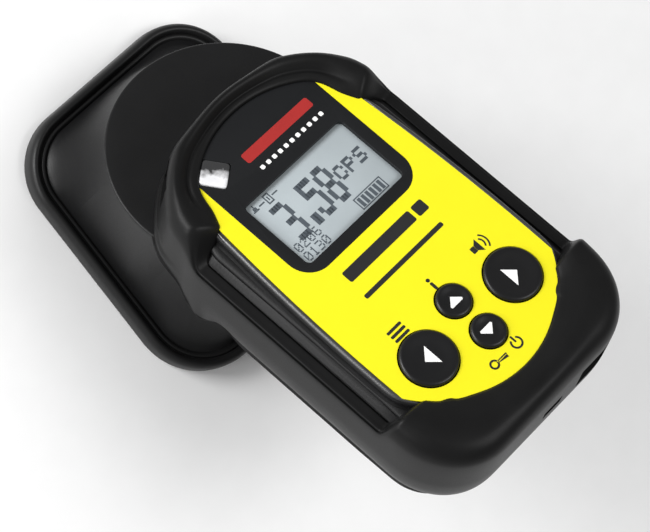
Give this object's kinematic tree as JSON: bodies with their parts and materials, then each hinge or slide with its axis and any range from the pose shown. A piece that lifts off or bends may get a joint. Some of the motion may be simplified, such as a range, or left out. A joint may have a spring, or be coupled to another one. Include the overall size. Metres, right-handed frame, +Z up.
{
  "type": "geiger counter",
  "caption": "Hand-held survey meter with a tilted display body in a rubber sleeve and a pancake detector head on a flat flange.",
  "frame": {"origin": "on the floor under the detector's axis, at the centre of the flange", "axes": "+Y along the flange towards the head end, +Z up along the detector's axis, +X to the right as the display is read"},
  "size_m": [0.069, 0.1261, 0.0982],
  "materials": {
    "black_housing": "fine moulded texture, satin",
    "glossy_panel": "printed display panel, gloss",
    "yellow_label": "printed polyester film, satin gloss",
    "sleeve_rubber": "moulded rubber, soft sheen",
    "guard_rubber": "moulded rubber, soft sheen",
    "display_glass": "liquid-crystal glass with polarizer",
    "light_guide": "milky light guide",
    "frame_plastic": "plain moulded plastic",
    "lens_clear": "clear moulded lens",
    "lamp_red": "tinted lamp body",
    "button_rubber": "smooth silicone",
    "mat_silicone": "silicone sheet",
    "steel": "plain steel",
    "tinned": "tinned sheet",
    "board_green": "solder mask",
    "cell_jacket": "printed cell jacket",
    "brass_plate": "plated contact",
    "dark_filter": "infrared filter plastic",
    "seal_rubber": "sealing rubber",
    "lead_jacket": "wire insulation",
    "tube_metal": "stainless cathode shell",
    "mica": "mica sheet with dark coating",
    "tungsten": "plated wire",
    "foam": "closed-cell foam",
    "ferrite": "ferrite block in varnish",
    "grille_metal": "etched stainless sheet",
    "key_plastic": "moulded door plastic"
  },
  "bodies": {
    "case": {"front_housing": "black_housing", "rear_housing": "black_housing", "housing_seal": "seal_rubber", "housing_screws": "steel", "face_label": "yellow_label", "display_window": "glossy_panel", "lcd_panel": "display_glass", "lcd_backlight": "light_guide", "lcd_frame": "frame_plastic", "alarm_lens": "lens_clear", "alarm_led": "lamp_red", "keypad_mat": "mat_silicone", "switch_domes": "tinned", "main_board": "board_green", "board_screws": "steel", "shield_can": "tinned", "buzzer": "black_housing", "vibration_motor": "steel", "battery_tray": "black_housing", "battery_left": "cell_jacket", "battery_right": "cell_jacket", "battery_contacts": "brass_plate", "battery_springs": "tinned", "door_hinge_pin": "steel", "strap_pin": "steel", "infrared_window": "dark_filter", "rubber_sleeve": "sleeve_rubber", "head_housing": "black_housing", "rim_guard": "guard_rubber", "neck_seal": "seal_rubber", "neck_screws": "steel", "detector_lead": "lead_jacket", "geiger_tube": "tube_metal", "tube_window": "mica", "tube_anode": "tungsten", "tube_cushion": "foam", "hv_board": "board_green", "hv_transformer": "ferrite", "window_grille": "grille_metal", "grille_ring": "black_housing", "ring_screws": "steel"},
    "left_key": {"button_left": "button_rubber"},
    "right_key": {"button_right": "button_rubber"},
    "up_key": {"button_up": "button_rubber"},
    "down_key": {"button_down": "button_rubber"},
    "door": {"battery_door": "key_plastic"}
  },
  "joints": [
    {"name": "press_left", "type": "slide", "parent": "case", "child": "left_key", "axis": [0, -0.4226, -0.9063], "range_m": [0, 0.0008], "stiffness_N_per_m": 1500, "springref_m": -0.0001},
    {"name": "press_right", "type": "slide", "parent": "case", "child": "right_key", "axis": [0, -0.4226, -0.9063], "range_m": [0, 0.0008], "stiffness_N_per_m": 1500, "springref_m": -0.0001},
    {"name": "press_up", "type": "slide", "parent": "case", "child": "up_key", "axis": [0, -0.4226, -0.9063], "range_m": [0, 0.0008], "stiffness_N_per_m": 1500, "springref_m": -0.0001},
    {"name": "press_down", "type": "slide", "parent": "case", "child": "down_key", "axis": [0, -0.4226, -0.9063], "range_m": [0, 0.0008], "stiffness_N_per_m": 1500, "springref_m": -0.0001},
    {"name": "door_hinge", "type": "hinge", "parent": "case", "child": "door", "pos_m": [0, -0.0788, 0.06566], "axis": [-1, 0, 0], "range_deg": [0, 100]}
  ]
}
